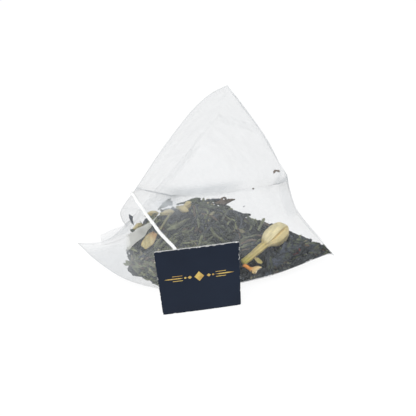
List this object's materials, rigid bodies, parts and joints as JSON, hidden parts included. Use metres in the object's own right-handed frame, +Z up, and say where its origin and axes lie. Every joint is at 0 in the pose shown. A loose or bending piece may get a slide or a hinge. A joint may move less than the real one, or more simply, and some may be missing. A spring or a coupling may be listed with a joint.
{
  "type": "tea bag",
  "caption": "Pyramid tea bag of fine woven mesh, filled with loose tea, jasmine buds and petals, with a square paper tag on a short cotton string.",
  "frame": {"origin": "middle of the pouch's box on the surface that it rests on", "axes": "+Z up to the apex, +Y from the front panel and the tag to the rear corner, +X to the right seen from the front"},
  "size_m": [0.0752, 0.0807, 0.0488],
  "materials": {
    "mesh": "sheer fine plain-woven mesh, heat sealed",
    "tea": "dry rolled tea leaf, dark green to black",
    "leaf": "dry curled leaf, dark green",
    "olive_leaf": "dry curled leaf, olive",
    "brown_leaf": "dry curled leaf, brown",
    "jasmine": "dried flower bud, cream",
    "petal": "dried petal, cream to amber",
    "blossom": "dried blossom, orange",
    "red_petal": "dried petal, dark red",
    "green_leaf": "dried leaf scrap, green",
    "stem": "dried stem, pale brown",
    "card": "thin card, dark blue print on white stock",
    "cotton": "twisted cotton thread, white"
  },
  "bodies": {
    "root": {"mesh_bag": "mesh", "tea_heap": "tea", "jasmine_bud_large": "jasmine", "jasmine_bud_small_1": "jasmine", "jasmine_bud_small_2": "jasmine", "jasmine_bud_small_3": "jasmine", "jasmine_bud_small_4": "jasmine", "jasmine_bud_small_5": "jasmine", "jasmine_bud_small_6": "jasmine", "jasmine_petal_1": "petal", "jasmine_petal_2": "petal", "jasmine_petal_3": "petal", "red_petal_scrap": "red_petal", "green_leaf_scrap": "green_leaf", "orange_blossom": "blossom", "curled_leaf_01": "brown_leaf", "curled_leaf_02": "leaf", "curled_leaf_03": "olive_leaf", "curled_leaf_04": "leaf", "curled_leaf_05": "leaf", "curled_leaf_06": "olive_leaf", "curled_leaf_07": "leaf", "curled_leaf_08": "brown_leaf", "curled_leaf_09": "leaf", "curled_leaf_10": "leaf", "stem_1": "stem", "stem_2": "stem", "stem_3": "stem", "paper_tag": "card", "string": "cotton"}
  },
  "joints": []
}
